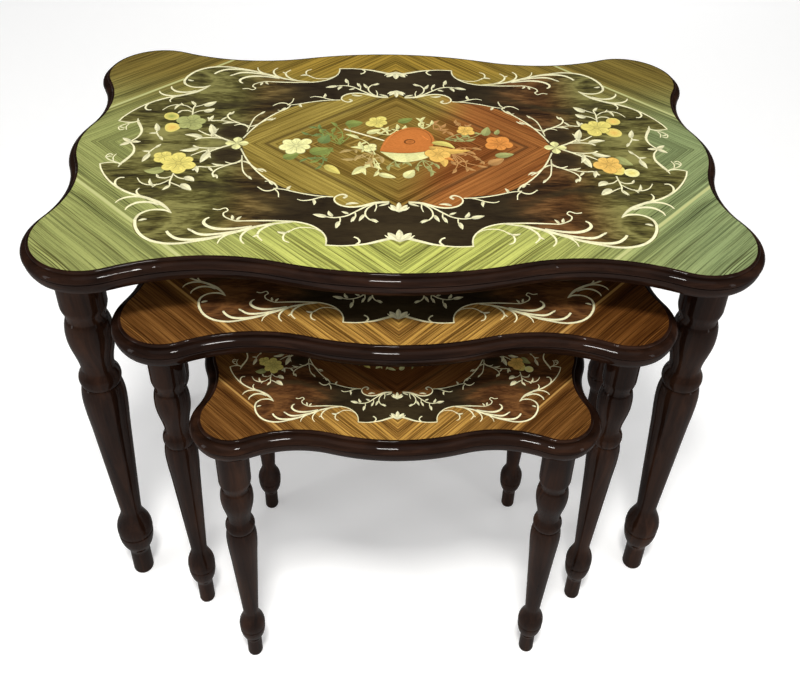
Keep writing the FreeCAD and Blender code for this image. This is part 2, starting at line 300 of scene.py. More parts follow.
def border_veneer(name, table):
    """Striped veneer; its grain crosses the four corners and meets in points on the middle lines."""
    shader = Shader(f"{name}_border_veneer")
    x, y, ax, ay = plan(shader, table)
    across = shader.plus(ax, ay)
    along = shader.minus(ax, ay)
    grain = striped_grain(shader, across, along, BORDER_SEED)
    lines = dark_lines(shader, across, along, BORDER_SEED)
    centre = shader.rest(shader.scaled(ax, 30.0, 210.0))
    right = shader.scaled(x, 120.0, 260.0)
    if name == "large":
        front = shader.rest(shader.scaled(y, -150.0, -40.0))
        rear = shader.scaled(y, 20.0, 150.0)
        # The green of the large table's border is a painted green reflection over the wood's own colour.
        colour = shader.ramp(grain, BORDER_WOOD_AND_GREEN_REFLECTION)
        colour = shader.tinted(shader.times(centre, front), colour, (1.66, 1.60, 1.16))
        colour = shader.tinted(rear, colour, (0.70, 0.47, 0.30))
        colour = shader.tinted(shader.times(centre, rear), colour, (1.75, 1.55, 1.05))
        colour = shader.tinted(shader.times(right, shader.rest(rear)), colour, (0.80, 0.92, 1.20))
        line_share = 0.88
        pale = (0.46, 0.47, 0.20)
    else:
        colour = shader.ramp(grain, BORDER_BROWN)
        colour = shader.tinted(centre, colour, (2.80, 3.60, 3.15))
        right_share = 1.0 if name == "middle" else 0.2
        colour = shader.tinted(shader.times(right, right_share), colour, (0.66, 0.56, 0.50))
        line_share = 0.95
        pale = (0.44, 0.25, 0.07)
    colour = shader.tinted(shader.times(lines, line_share), colour, (0.26, 0.22, 0.19))
    colour = shader.mix(shader.times(pores(shader, across, along), 0.35), colour, SCORCH)
    from_line = shader.magnitude(shader.minus(across, CORNER_LINE))
    light = shader.rest(shader.scaled(from_line, 1.4, 2.6))
    colour = shader.mix(shader.times(light, 0.9), colour, pale)
    return shader.finish_top(colour, grain, 0.06)


def cartouche_veneer(name, table):
    """Dark clouded burr, nearly black around the medallion and lighter towards the ends."""
    shader = Shader(f"{name}_cartouche_veneer")
    x, _, ax, ay = plan(shader, table)
    cloud = stretched_noise(shader, ax, ay, (0.011, 0.016), 0.35,
                            detail=4.0, roughness=0.55, distortion=1.4)
    curl = stretched_noise(shader, ax, ay, (0.03, 0.10), 2.0, detail=5.0, roughness=0.6, distortion=1.2)
    fibre = stretched_noise(shader, ax, ay, (0.10, 0.9), 5.0, detail=3.0, roughness=0.65)
    figure = shader.plus(shader.times(cloud, 0.44), shader.times(curl, 0.32))
    figure = shader.plus(figure, shader.times(fibre, 0.24))
    if name == "large":
        # On the large table the olive of the lighter burr is a painted green reflection over the wood; the
        # redder parts have less of it.
        light = shader.ramp(figure, BURR_WOOD_AND_GREEN_REFLECTION)
        red = shader.ramp(figure, BURR_RED)
        for place, near, far, share in RED_PARTS:
            apart = shader.magnitude(shader.minus(x, place))
            redness = shader.rest(shader.scaled(apart, near, far))
            light = shader.mix(shader.times(redness, share), light, red)
    else:
        light = shader.ramp(figure, BURR_BROWN)
    dark = shader.ramp(figure, BURR_BLACK)
    edge = shader.plus(ax, shader.times(shader.minus(cloud, 0.5), 90.0))
    outer = shader.scaled(edge, 82.0, 146.0)

    from_eye = shader.vector(shader.minus(ax, EYE_PLACE[0]), shader.minus(ay, EYE_PLACE[1]))
    reach = shader.node("VectorMath", {0: from_eye}, operation="LENGTH").outputs["Value"]
    eye = shader.rest(shader.scaled(reach, 8.0, 26.0))
    outer = shader.times(outer, shader.rest(shader.times(eye, 0.95)))
    colour = shader.mix(outer, dark, light)

    bow = shader.times(shader.math("POWER", shader.minus(ax, BAND_NEAREST[0]), 2.0), BAND_CURVE)
    from_band = shader.minus(ay, shader.plus(BAND_NEAREST[1], bow))
    from_band = shader.magnitude(shader.plus(from_band, shader.times(curl, 9.0)))
    band = shader.times(shader.rest(shader.scaled(from_band, 1.0, 8.0)), outer)
    colour = shader.mix(shader.times(band, 0.6), colour, (0.035, 0.028, 0.012))
    return shader.finish_top(colour, figure, 0.05)


def medallion_veneer(name, table):
    """Striped veneer in diamonds, with a dark seam around the inner one."""
    shader = Shader(f"{name}_medallion_veneer")
    x, y, ax, ay = plan(shader, table)
    across = shader.plus(shader.times(ax, MEDALLION_SLANT[0]), shader.times(ay, MEDALLION_SLANT[1]))
    along = shader.minus(ax, ay)
    grain = striped_grain(shader, across, along, MEDALLION_SEED)
    lines = dark_lines(shader, across, along, MEDALLION_SEED)
    if name == "large":
        # On the large table the olive is a painted green reflection over the wood, fading out towards the
        # redder right side.
        side = shader.scaled(shader.plus(x, shader.times(y, -0.25)), 8.0, 60.0)
        colour = shader.mix(side, shader.ramp(grain, MEDALLION_WOOD_AND_GREEN_REFLECTION), shader.ramp(grain, MEDALLION_RED))
    else:
        colour = shader.ramp(grain, MEDALLION_BROWN)
    colour = shader.tinted(shader.times(lines, 0.85), colour, (0.34, 0.30, 0.26))
    inner = shader.rest(shader.scaled(across, 88.0, 106.0))
    colour = shader.tinted(inner, colour, (0.72, 0.64, 0.60))
    from_seam = shader.magnitude(shader.minus(across, MEDALLION_SEAM))
    seam = shader.rest(shader.scaled(from_seam, 0.8, 4.0))
    colour = shader.mix(shader.times(seam, 0.55), colour, (0.045, 0.025, 0.010))
    colour = shader.mix(shader.times(pores(shader, across, along), 0.3), colour, SCORCH)
    return shader.finish_top(colour, grain, 0.06)


def dark_wood(name, stretch, light):
    """Dark polished wood; the stretch holds the frequency of its grain along x, y and z."""
    shader = Shader(name)
    grain = shader.noise(shader.stretched_position(stretch), detail=5.0, roughness=0.6, distortion=0.6)
    cloud = shader.noise(shader.position(), scale=11.0, detail=2.0)
    colour = shader.ramp(grain, [(place, toned(black, light)) for place, black in POLISH_BLACK])
    colour = shader.tinted(shader.scaled(cloud, 0.35, 0.70), colour, (1.35, 1.35, 1.25))
    wear = shader.noise(shader.position(), scale=60.0, detail=3.0)
    roughness = shader.node("MapRange", {"Value": wear, "To Min": 0.20, "To Max": 0.34}).outputs["Result"]
    shader.surface.inputs["Specular Tint"].default_value = (1.0, 0.62, 0.52, 1.0)
    return shader.finish(colour, roughness, grain, 0.05, 0.0001,
                         coat=0.13, coat_roughness=0.03, coat_ior=1.5, specular=0.0)


def board_wood():
    shader = Shader("board_underside")
    spot = shader.stretched_position((6.0, 90.0, 1.0))
    grain = shader.noise(spot, detail=6.0, roughness=0.65, distortion=0.5)
    colour = shader.ramp(grain, BOARD_BROWN)
    return shader.finish(colour, 0.55, grain, 0.15, coat=0.15, coat_roughness=0.3)


def metal(name, colour, roughness):
    shader = Shader(name)
    brushed = shader.noise(shader.position(), scale=900.0, detail=2.0)
    tint = shader.mix(brushed, colour, toned(colour, 0.8))
    shader.surface.inputs["Metallic"].default_value = 1.0
    rough = shader.node("MapRange", {"Value": brushed, "To Min": roughness, "To Max": roughness + 0.15})
    return shader.finish(tint, rough.outputs["Result"], brushed)


def inlay_wood():
    """Inlaid wood. Each piece carries its own tint; the grain and the polish are the same."""
    shader = Shader("inlay_wood")
    tint = shader.node("Attribute", attribute_name="tint").outputs["Color"]
    grain = shader.noise(shader.stretched_position((500.0, 1700.0, 1.0)), detail=3.0, roughness=0.6)
    shade = shader.ramp(grain, [(0.30, (0.74, 0.70, 0.62)), (0.60, (1.0, 1.0, 1.0))])
    return shader.finish_top(shader.tinted(1.0, tint, shade), grain, 0.04)


INLAY = inlay_wood()


def assign(node, material):
    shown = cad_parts[node]
    shown.data.materials.clear()
    shown.data.materials.append(material)


def dress_cad():
    legs = dark_wood("leg_polish", (90.0, 90.0, 7.0), 0.68)
    edges = dark_wood("lipping_polish", (16.0, 60.0, 160.0), 0.62)
    board = board_wood()
    steel = metal("zinc_plate", (0.62, 0.62, 0.60), 0.32)
    brass = metal("turned_brass", (0.70, 0.50, 0.22), 0.28)
    for name, table in TABLES.items():
        assign(f"{name}_board", board)
        assign(f"{name}_veneer_border", border_veneer(name, table))
        assign(f"{name}_veneer_cartouche", cartouche_veneer(name, table))
        assign(f"{name}_veneer_medallion", medallion_veneer(name, table))
        assign(f"{name}_leg_bolts", steel)
        assign(f"{name}_leg_inserts", brass)
        for side in ("front", "back", "left", "right"):
            assign(f"{name}_lipping_{side}", edges)
        for depth in ("front", "back"):
            for side in ("left", "right"):
                assign(f"{name}_leg_{depth}_{side}", legs)


# ---------------------------------------------------------------- marquetry

def spline(points, steps=6):
    """Points along a smooth curve through the given ones."""
    ends = [points[0]] + list(points) + [points[-1]]
    curve = []
    for i in range(len(points) - 1):
        a, b, c, d = ends[i:i + 4]
        for step in range(steps):
            t = step / steps
            curve.append(tuple(
                0.5 * (2 * b[k] + (c[k] - a[k]) * t + (2 * a[k] - 5 * b[k] + 4 * c[k] - d[k]) * t * t
                       + (3 * b[k] - a[k] - 3 * c[k] + d[k]) * t ** 3) for k in (0, 1)))
    curve.append(tuple(points[-1][:2]))
    return curve


def normals(curve):
    """The direction to the left of the curve at each of its points."""
    result = []
    for i in range(len(curve)):
        before, after = curve[max(i - 1, 0)], curve[min(i + 1, len(curve) - 1)]
        dx, dy = after[0] - before[0], after[1] - before[1]
        length = math.hypot(dx, dy) or 1.0
        result.append((-dy / length, dx / length))
    return result


# The lines drawn on each petal: place round the petal, tone, start and end as shares of the radius, width.
PETAL_LINES = (
    (0.0, 0.52, 0.16, 0.72, 0.8),
    (0.42, 0.74, 0.34, 0.80, 0.6),
    (0.62, 1.20, 0.45, 0.82, 1.3),
)
POINTS_PER_PETAL = 10
# The dark rim shows this far beyond the petals.
BLOSSOM_RIM = 0.55


class Sheet:
    """Collects flat inlaid pieces for one mesh; every face corner carries a tint."""

    def __init__(self):
        self.corners, self.faces, self.tints = [], [], []
        self.layer = 0
        self.pieces = 0

    def face(self, points, tints):
        """One polygon at the height of the layer and the piece, turned to face upwards."""
        start = len(self.corners)
        height = INLAY_LIFT + LAYER_LIFT * (self.layer + self.pieces % PIECE_TURNS / PIECE_TURNS)
        area = sum(points[i - 1][0] * points[i][1] - points[i][0] * points[i - 1][1]
                   for i in range(len(points)))
        if area < 0:
            points, tints = points[::-1], tints[::-1]
        self.corners += [(x, y, height) for x, y in points]
        self.faces.append(tuple(range(start, start + len(points))))
        self.tints += tints

    def fan(self, middle, rim, core, tint):
        """Triangles from the middle to a closed rim; the tint runs from core to tint."""
        for i in range(len(rim)):
            self.face([middle, rim[i - 1], rim[i]], [core, tint, tint])

    def ribbon(self, curve, widths, tint, shade=0.80):
        """A strip along the curve, its width from a function; it is darker at its start."""
        self.pieces += 1
        sides = normals(curve)
        last = len(curve) - 1
        for i in range(last):
            quad, tints = [], []
            for j, sign in ((i, 1), (i + 1, 1), (i + 1, -1), (i, -1)):
                half = widths(j / last) / 2 * sign
                quad.append((curve[j][0] + sides[j][0] * half, curve[j][1] + sides[j][1] * half))
                level = shade + (1 - shade) * min(1.0, 2.2 * j / last)
                tints.append(toned(tint, level))
            self.face(quad, tints)

    def stroke(self, points, widths, tint):
        """A stem or string whose width runs through the given values."""

        def width(t):
            place = t * (len(widths) - 1)
            i = min(int(place), len(widths) - 2)
            return STROKE_SLIMMING * (widths[i] + (widths[i + 1] - widths[i]) * (place - i))

        self.ribbon(spline(points), width, tint)

    def leaf(self, base, tip, width, tint, bend=0.0, fullness=0.75):
        """A pointed leaf in two halves, the second one darker."""
        self.pieces += 1
        middle = ((base[0] + tip[0]) / 2 - (tip[1] - base[1]) * bend,
                  (base[1] + tip[1]) / 2 + (tip[0] - base[0]) * bend)
        curve = spline([base, middle, tip], 5)
        sides = normals(curve)
        last = len(curve) - 1
        for sign, level in ((1, 1.0), (-1, 0.78)):
            for i in range(last):
                quad, tints = [], []
                for j, out in ((i, 0), (i + 1, 0), (i + 1, 1), (i, 1)):
                    half = width / 2 * math.sin(math.pi * (j / last) ** fullness) * out * sign
                    quad.append((curve[j][0] + sides[j][0] * half, curve[j][1] + sides[j][1] * half))
                    shading = level * (0.72 + 0.28 * min(1.0, 1.8 * j / last))
                    tints.append(toned(tint, shading))
                self.face(quad, tints)

    def disc(self, centre, radii, turn, tint, core, lobes=0, depth=0.0, steps=30):
        """A round or lobed piece; the tint runs from core at its middle to tint at its rim."""
        self.pieces += 1
        rim = []
        for i in range(steps):
            angle = 2 * math.pi * i / steps
            swell = 1 - depth * (0.5 - 0.5 * math.cos(lobes * angle))
            x, y = radii[0] * swell * math.cos(angle), radii[1] * swell * math.sin(angle)
            rim.append((centre[0] + x * math.cos(turn) - y * math.sin(turn),
                        centre[1] + x * math.sin(turn) + y * math.cos(turn)))
        self.fan(centre, rim, core, tint)

    def blossom(self, centre, radius, petals, tint, turn=0.0):
        """A flower: uneven petals in one piece on a dark rim, darker at the heart, with lines on them."""
        home = self.layer
        chance = random.Random(f"{centre}")
        swells = [chance.uniform(0.80, 1.14) for _ in range(petals)]

        def outline(grown):
            points = []
            for i in range(petals * POINTS_PER_PETAL):
                angle = turn + 2 * math.pi * i / (petals * POINTS_PER_PETAL)
                arch = math.sin(math.pi * (i % POINTS_PER_PETAL + 0.5) / POINTS_PER_PETAL)
                swell = 0.70 + 0.30 * arch ** 0.7
                reach = radius * swell * swells[i // POINTS_PER_PETAL] + grown
                points.append((centre[0] + reach * math.cos(angle), centre[1] + reach * math.sin(angle)))
            return points

        for grown, rim_level, core_level in ((BLOSSOM_RIM, 0.45, 0.45), (0.0, 1.05, 0.80)):
            self.pieces += 1
            self.fan(centre, outline(grown), toned(tint, core_level), toned(tint, rim_level))
            self.layer += 1
        for i in range(petals):
            for place, level, start, end, width in PETAL_LINES:
                angle = turn + 2 * math.pi * (i + place) / petals
                line = [(centre[0] + radius * share * math.cos(angle + bend),
                         centre[1] + radius * share * math.sin(angle + bend))
                        for share, bend in ((start, -0.12), ((start + end) / 2, 0.08), (end, 0.0))]
                self.stroke(line, (width * 0.5, width, width * 0.4), toned(tint, level))
        self.layer += 1
        heart = (radius * 0.22, radius * 0.19)
        self.disc(centre, heart, turn, toned(tint, 0.60), toned(tint, 0.95), steps=12)
        self.layer = home

    def mesh(self, name, table, shrink=1.0):
        """The pieces as one object on the given table."""
        grow = table["scale"] * MM * shrink
        mesh = bpy.data.meshes.new(name)
        mesh.from_pydata([(x * grow, y * grow + table["centre"], table["top"] + z * MM)
                          for x, y, z in self.corners], [], self.faces)
        attribute = mesh.color_attributes.new("tint", "FLOAT_COLOR", "CORNER")
        for place, tint in zip(attribute.data, self.tints):
            place.color = (*tint, 1.0)
        mesh.materials.append(INLAY)
        made = bpy.data.objects.new(name, mesh)
        bpy.context.scene.collection.objects.link(made)
        return made


# Strings and scrolls of one quarter, as distances from the centre: (points, widths).
STRINGS = [
    ([(7, 139), (16, 142.5), (27, 146.5), (43, 149), (57.5, 148.4)], (3.4, 3.0, 1.6, 1.4)),
    ([(57.5, 148.8), (57.6, 141), (59.8, 134), (65, 127), (72, 121.8), (82, 118.3), (92, 117.4)],
     (1.5, 1.5, 2.0)),
    ([(84, 118.0), (100, 117.0), (116, 117.2), (130, 118.0)], (1.6, 2.0, 1.2)),
    ([(61.5, 131.5), (67.5, 127), (76, 125.5), (83, 127.5), (88, 132.5)], (1.0, 1.3, 1.2)),
    ([(86, 118.5), (100, 121), (112, 124.5), (124, 130), (136, 136), (150, 142), (164, 146)],
     (1.6, 3.4, 2.6)),
    ([(160, 145.2), (172, 148), (183, 147.6), (194, 143.6), (202.5, 136), (208, 126), (210, 116.5)],
     (2.6, 2.8, 2.6)),
    ([(210, 118), (208.5, 111), (203.5, 105.6), (197, 103.4), (189, 104.0), (183, 108)],
     (2.8, 2.4, 1.8, 2.6, 0.6)),
    ([(183, 108), (188.5, 100.5), (196, 93.5), (208, 86.5), (221, 81), (232, 73.5), (241, 64.5), (248.5, 54),
      (253.8, 44), (256.4, 36)], (0.8, 4.0, 2.6, 2.0, 1.5, 1.5)),
    ([(256.6, 36.6), (250, 34.4), (243, 34.2), (238, 37.5)], (1.4, 1.6, 1.8)),
    ([(240, 41.5), (238.5, 35), (234.8, 27), (232, 18), (233.2, 9), (237, 2.5), (238.5, 0)],
     (0.8, 3.2, 2.4, 1.6, 1.6)),
    ([(139.5, 9), (137.5, 14), (134.5, 21.5), (129.5, 32), (122, 44.5), (113, 56), (105, 64), (101.5, 70)],
     (1.6, 1.6, 1.4)),
    ([(105, 71), (96, 72.6), (86, 76.3), (76, 79.4), (66, 81.6), (54.5, 82.6)], (1.4, 1.5, 1.4)),
    ([(46, 84.2), (43.4, 81.4), (46.2, 78.8), (50.4, 80.2), (53.3, 84), (52.7, 89.5), (48, 94.5), (40, 96.9),
      (31, 95.4), (19.5, 90.2), (8, 89)], (2.6, 2.2, 1.5, 1.6, 2.0, 2.4, 2.0)),
]
# Tendrils of one quarter.
TENDRILS = [
    ([(34, 147.6), (31.5, 143.5), (33, 139.5), (36, 137.5)], (2.6, 1.6, 1.8)),
    ([(99, 120.6), (105.5, 124.8), (110.5, 131), (111.2, 137.5), (107, 143.5)], (2.6, 2.2, 1.2)),
    ([(113, 124.8), (120, 130), (123.8, 137), (123.5, 143), (120.5, 147.5)], (2.8, 2.0, 1.2)),
    ([(128, 131.5), (135, 136.4), (139.6, 141.8), (141, 147.5)], (2.4, 1.6, 1.0)),
    ([(117, 124.6), (130, 128), (142, 128.8), (150.5, 126), (155.3, 121), (154.8, 116), (152, 113.4)],
     (2.0, 3.6, 3.0, 1.4)),
    ([(127, 130.6), (140, 134.6), (152, 136.4), (158.5, 134.8), (163.5, 131)], (2.0, 3.4, 2.2)),
    ([(138, 137), (152, 141.4), (165, 143), (173.5, 141.4), (179.5, 136.6), (182.5, 132)], (2.0, 3.4, 2.4)),
    ([(86, 129.5), (90, 133.5), (91.3, 138.5), (90, 143), (86, 145.5)], (1.2, 1.8, 1.0)),
    ([(130, 118), (135.5, 115.5), (140.4, 111.8), (141.6, 107.2), (138.6, 103.6), (141, 100.2), (146, 102.6),
      (151, 101.6)], (1.6, 1.4, 1.2, 1.4)),
    ([(195, 96.5), (204, 93), (213, 94), (219, 99.5), (220.4, 104.5)], (2.6, 3.0, 1.0)),
    ([(204, 89), (213, 85.6), (222, 86.2), (228, 90), (230.4, 94.5)], (2.2, 2.6, 1.0)),
    ([(210, 86), (215, 81.8), (217, 77), (215.6, 73)], (2.0, 1.8, 1.0)),
    ([(229, 76), (235.6, 69.5), (237.4, 62.5), (235, 57.8), (231, 57.6)], (2.2, 2.0, 1.4)),
    ([(243, 33.6), (250, 30), (254, 25), (252, 20.5), (248.5, 22)], (1.4, 1.2, 1.2)),
    ([(246, 31.5), (247.5, 26), (246, 20.5)], (1.2, 0.9)),
    ([(101.5, 70), (104.5, 64), (109, 60), (113, 61)], (1.2, 1.4, 1.0)),
    ([(102, 70), (106.6, 74.2), (112.5, 74.4), (118.5, 69)], (1.2, 1.8, 1.0)),
    ([(104, 72), (100.6, 77), (99.6, 84)], (1.4, 1.0)),
    ([(60, 82.4), (66, 84), (72, 87), (79, 88.6), (84, 86.6)], (1.2, 1.6, 1.0)),
    ([(137.2, 20), (135.5, 34), (133, 46), (128.5, 53.5), (126.4, 56)], (1.2, 1.3, 1.8)),
    ([(136, 26), (139.5, 31), (145, 33.6), (150.4, 31)], (1.2, 1.8, 1.0)),
    ([(136, 30), (146, 35.5), (155, 42), (158.6, 49), (156.5, 55)], (1.2, 1.6, 2.0)),
    ([(140, 33), (152, 37), (164, 39.6), (172, 39.4), (176.4, 45)], (1.2, 1.4, 2.2)),
    ([(129, 33), (123.5, 40.5), (116, 46.5)], (1.2, 1.8, 0.8)),
    ([(150, 3.2), (157, 7.6), (163.6, 12.5), (170, 19)], (2.4, 2.0, 1.4)),
    ([(152, 4.5), (158, 7.8), (168, 9), (177, 8), (182, 5)], (1.8, 1.6, 2.0)),
    ([(163, 11), (172, 14), (181.5, 21.5)], (1.4, 1.8, 1.0)),
    ([(8, 89.5), (18, 91), (27, 96), (35, 103), (43, 109.5), (52, 112), (60, 110.6)], (2.2, 1.8, 1.2)),
    ([(20, 92), (26, 99), (27.6, 107), (24.4, 113.5), (18, 118)], (1.6, 1.6, 1.2)),
    ([(19, 91.5), (18.6, 97), (20, 103)], (1.6, 0.8)),
    ([(36, 103), (35.4, 110), (37.6, 116.5)], (1.2, 1.6)),
    ([(48, 111), (47.6, 117), (49.6, 122)], (1.2, 1.2)),
    ([(191, 46), (191.8, 54), (192.4, 62), (191.6, 70), (195.5, 75)], (1.6, 1.6, 1.0)),
    ([(191.6, 54), (197, 57.5), (203.5, 56.5)], (1.2, 1.8)),
    ([(192, 64), (186, 67.6), (181.5, 71)], (1.2, 1.4)),
    ([(191, 52), (186.5, 56.5), (181, 58.5)], (1.2, 1.4)),
    ([(193, 60), (200, 66.5), (209, 68), (216, 64.6), (220.5, 57.5)], (1.2, 1.6, 0.9)),
    ([(202, 66.5), (205.5, 71.5)], (1.6, 0.8)),
    ([(211.5, 5), (215.6, 11), (218.5, 18), (217.4, 25)], (1.2, 1.6, 1.2)),
]
# Small leaves of one quarter: (base, tip, width, bend).
LEAVES = [
    ((58.5, 111), (70, 107.5), 5.6, 0.0), ((53.6, 110.6), (57.5, 102.5), 4.0, 0.1),
    ((48.6, 117), (50.6, 126.5), 4.6, 0.0), ((28.5, 107), (32.5, 116.5), 4.0, 0.0),
    ((24, 114), (16.6, 117.4), 3.0, 0.1), ((41, 106.5), (47, 103.2), 3.2, 0.0),
    ((36.2, 110), (39, 118), 3.2, 0.0), ((71, 86.6), (69.8, 95), 3.4, 0.1),
    ((44, 93.5), (33, 91.8), 3.6, 0.1), ((93, 73.8), (90.6, 67), 3.4, 0.1),
    ((123, 42.5), (113, 46.5), 3.0, 0.2), ((106, 66), (110.4, 59), 3.0, 0.0),
    ((88.6, 133), (96.8, 131.4), 3.4, 0.1), ((110.6, 135), (115, 139), 2.6, 0.0),
    ((133, 116), (134.4, 109.8), 3.2, 0.0), ((129.6, 117.6), (126.6, 111.6), 3.0, 0.1),
    ((207, 119), (200.5, 116.6), 3.2, 0.1), ((163, 131.6), (167, 128.4), 2.6, 0.0),
    ((157, 51), (153.6, 57.6), 3.0, 0.1), ((150, 36.5), (162, 33.5), 3.2, 0.1),
    ((168, 10), (163.4, 25.5), 4.4, -0.1), ((166.5, 15), (171.8, 33), 8.4, 0.0),
    ((176, 8.6), (192.6, 13.4), 7.0, 0.1), ((174.5, 38), (171.6, 49), 4.6, 0.0),
    ((163.5, 40), (158.8, 46.6), 3.0, 0.0), ((181.8, 56), (172.4, 62), 8.0, 0.1),
    ((182.6, 66), (172.5, 75.5), 8.4, 0.0), ((205, 70), (209.6, 58.6), 3.4, 0.1),
    ((191.8, 68), (196.6, 75.6), 3.0, 0.0), ((203, 57), (205.6, 51.6), 2.8, 0.0),
    ((217.6, 19), (221.6, 33), 6.0, 0.0), ((216.5, 16), (225, 15), 3.2, 0.0),
    ((214.4, 10), (210.4, 3), 3.4, 0.0), ((128.6, 52.5), (124.4, 58.4), 3.0, 0.0),
    ((136.6, 29), (127.4, 36), 2.4, 0.1), ((254.5, 27), (247.8, 24), 2.0, 0.1),
    ((8, 91), (17, 95.2), 3.0, 0.0),
]


def quarters():
    return [(sx, sy) for sx in (-1, 1) for sy in (-1, 1)]


def mirrored(points, sx, sy):
    return [(point[0] * sx, point[1] * sy) for point in points]


PALMETTE_LOBES = 3
# On the long middle line: a four-petalled rosette and a bud, this far from the centre at each end.
ROSETTE_PLACE = 144.0
ROSETTE_REACH = 10.5
BUD_PLACE = 238.0


def palmette(sheet, root, tip, half, sy):
    """A small fan of petals on the short middle line, from root to tip, with a curl to each side."""
    height = tip - root
    middle = (PALMETTE_LOBES - 1) / 2
    for i in range(PALMETTE_LOBES):
        share = (i - middle) / middle
        length = height * (1.0 - 0.22 * abs(share))
        end = (half * 0.82 * share, (root + length * (1 - 0.12 * share * share)) * sy)
        sheet.leaf((0, (root - height * 0.25) * sy), end, half * 0.52, CREAM, 0.0, 1.15)
    for sx in (-1, 1):
        curl = [(0, root), (half * 0.62, root + height * 0.10), (half * 1.02, root + height * 0.42)]
        sheet.stroke(mirrored(curl, sx, sy), (3.2, 2.6, 0.8), CREAM)


def scrollwork(name, table):
    """The strings, scrolls, tendrils and leaves around the cartouche and the medallion."""
    sheet = Sheet()
    for sx, sy in quarters():
        for layer, strokes in ((0, STRINGS), (1, TENDRILS)):
            sheet.layer = layer
            for points, widths in strokes:
                sheet.stroke(mirrored(points, sx, sy), widths, CREAM)
        sheet.layer = 2
        for base, tip, width, bend in LEAVES:
            sheet.leaf(*mirrored((base, tip), sx, sy), width * LEAF_SLIMMING, CREAM, bend * sx * sy)
    sheet.layer = 3
    for sy in (-1, 1):
        palmette(sheet, 140.5, 127.5, 11.5, sy)
        palmette(sheet, 101.0, 89.5, 8.5, sy)
    for sx in (-1, 1):
        for quarter_turn in range(4):
            angle = quarter_turn * math.pi / 2
            tip = (sx * ROSETTE_PLACE + ROSETTE_REACH * math.cos(angle), ROSETTE_REACH * math.sin(angle))
            sheet.leaf((sx * ROSETTE_PLACE, 0.0), tip, 8.0, PALE, 0.0, 1.35)
        for sy in (-1, 1):
            sheet.leaf((sx * BUD_PLACE, 0.0), (sx * 246.5, 6.5 * sy), 4.6, CREAM)
        sheet.leaf((sx * BUD_PLACE, 0.0), (sx * 229.0, 0.0), 4.0, CREAM)
    return sheet.mesh(f"{name}_inlay_scrolls", table)


def side_flowers(sheet):
    """The flower groups at the two ends: a large bloom, two buds and a leaf, front and back."""
    sheet.blossom((-205, -24), 9.5, 4, YELLOW, 0.4)
    sheet.blossom((-190, -34), 15.0, 6, YELLOW, 0.2)
    sheet.leaf((-200, -43), (-217, -47), 10.5, SAGE, 0.1)
    sheet.blossom((-190, 36), 15.0, 5, SAGE, 0.9)
    sheet.disc((-210, 46), (7.6, 6.4), -0.8, YELLOW, GREEN)
    sheet.disc((-206, 26), (7.4, 8.6), 0.2, YELLOW, GOLD, 3, 0.12)
    sheet.blossom((188, -27), 13.6, 5, GOLD, 0.3)
    sheet.disc((193, -36), (8.0, 8.6), 0.4, YELLOW, GOLD, 4, 0.10)
    sheet.leaf((197, -14), (210, -28), 11.0, SAGE, -0.1)
    sheet.disc((206, -40.5), (6.8, 6.6), 0.0, PALE, YELLOW)
    sheet.blossom((189, 37), 14.6, 5, YELLOW, 0.0)
    sheet.disc((207, 49), (6.8, 6.6), 0.3, YELLOW, GOLD)
    sheet.disc((203.5, 28), (7.6, 8.0), 0.1, YELLOW, GOLD)


# Leaf sprays of the bouquet: (root, tips, leaf length, tint).
SPRAYS = [
    ((-22, -12), ((-52, -14), (-50, -24), (-38, -27), (-30, -33), (-21, -38), (-14, -30)), 10.0, TAN),
    ((-21, -22), ((-28, -49), (-21, -51), (-14, -40), (-33, -38)), 9.0, PALE),
    ((-20, -16), ((-47, 18), (-34, 6), (-42, -4)), 11.0, PALE),
    ((-52, 0), ((-62, 40), (-57, 30), (-46, 38), (-48, 14), (-66, 20), (-70, 30)), 9.0, GREEN),
    ((-60, 16), ((-82, 30), (-88, 22), (-78, 14), (-72, 36)), 8.0, BLUE_GREEN),
    ((-58, -6), ((-76, -12), (-70, -18), (-62, -15), (-78, -30)), 9.0, GREEN),
    ((-66, -22), ((-86, -30), (-72, -41), (-62, -28), (-80, -22)), 7.0, BLUE_GREEN),
    ((-8, 18), ((-16, 31), (-8, 33), (0, 38), (-20, 26), (8, 36)), 9.0, PALE),
    ((24, 30), ((18, 50), (27, 52), (33, 46), (22, 42)), 8.0, PALE),
    ((34, 30), ((46, 40), (40, 46), (48, 30), (52, 17)), 9.0, ROSE),
    ((44, 12), ((66, 22), (78, 22), (72, 14), (62, 8), (84, 30)), 9.0, SAGE),
    ((46, -8), ((62, -12), (70, -14), (57, -4), (76, -6)), 9.0, ROSE),
    ((48, -10), ((52, -32), (60, -42), (68, -40), (72, -22), (79, -34), (47, -45)), 8.0, ROSE),
    ((22, -24), ((18, -42), (28, -50), (33, -44), (36, -38)), 8.0, SAGE),
    ((-2, -26), ((2, -37), (12, -34), (-8, -42)), 8.0, SAGE),
    ((60, 34), ((54, 44), (56, 48), (70, 40)), 8.0, ROSE),
    ((74, -24), ((68, -18), (76, -30)), 7.0, ROSE),
]
# Broad leaves of the bouquet: (centre, half length and half width, turn, tint).
BROAD_LEAVES = [
    ((8, 45), (8, 4.5), 0.5, GREEN), ((-40, 38), (8.5, 6.5), 0.2, GREEN),
    ((-66, 9), (8, 6), 1.2, BLUE_GREEN), ((-70, -11), (9, 7), 0.4, GREEN),
    ((-94, -20), (8, 5.5), 0.6, GREEN), ((96, -14), (9, 4.5), 0.2, SAGE),
    ((83, 27), (8.5, 4.4), 1.3, SAGE), ((93, 26), (5, 2.6), 1.2, SAGE),
]
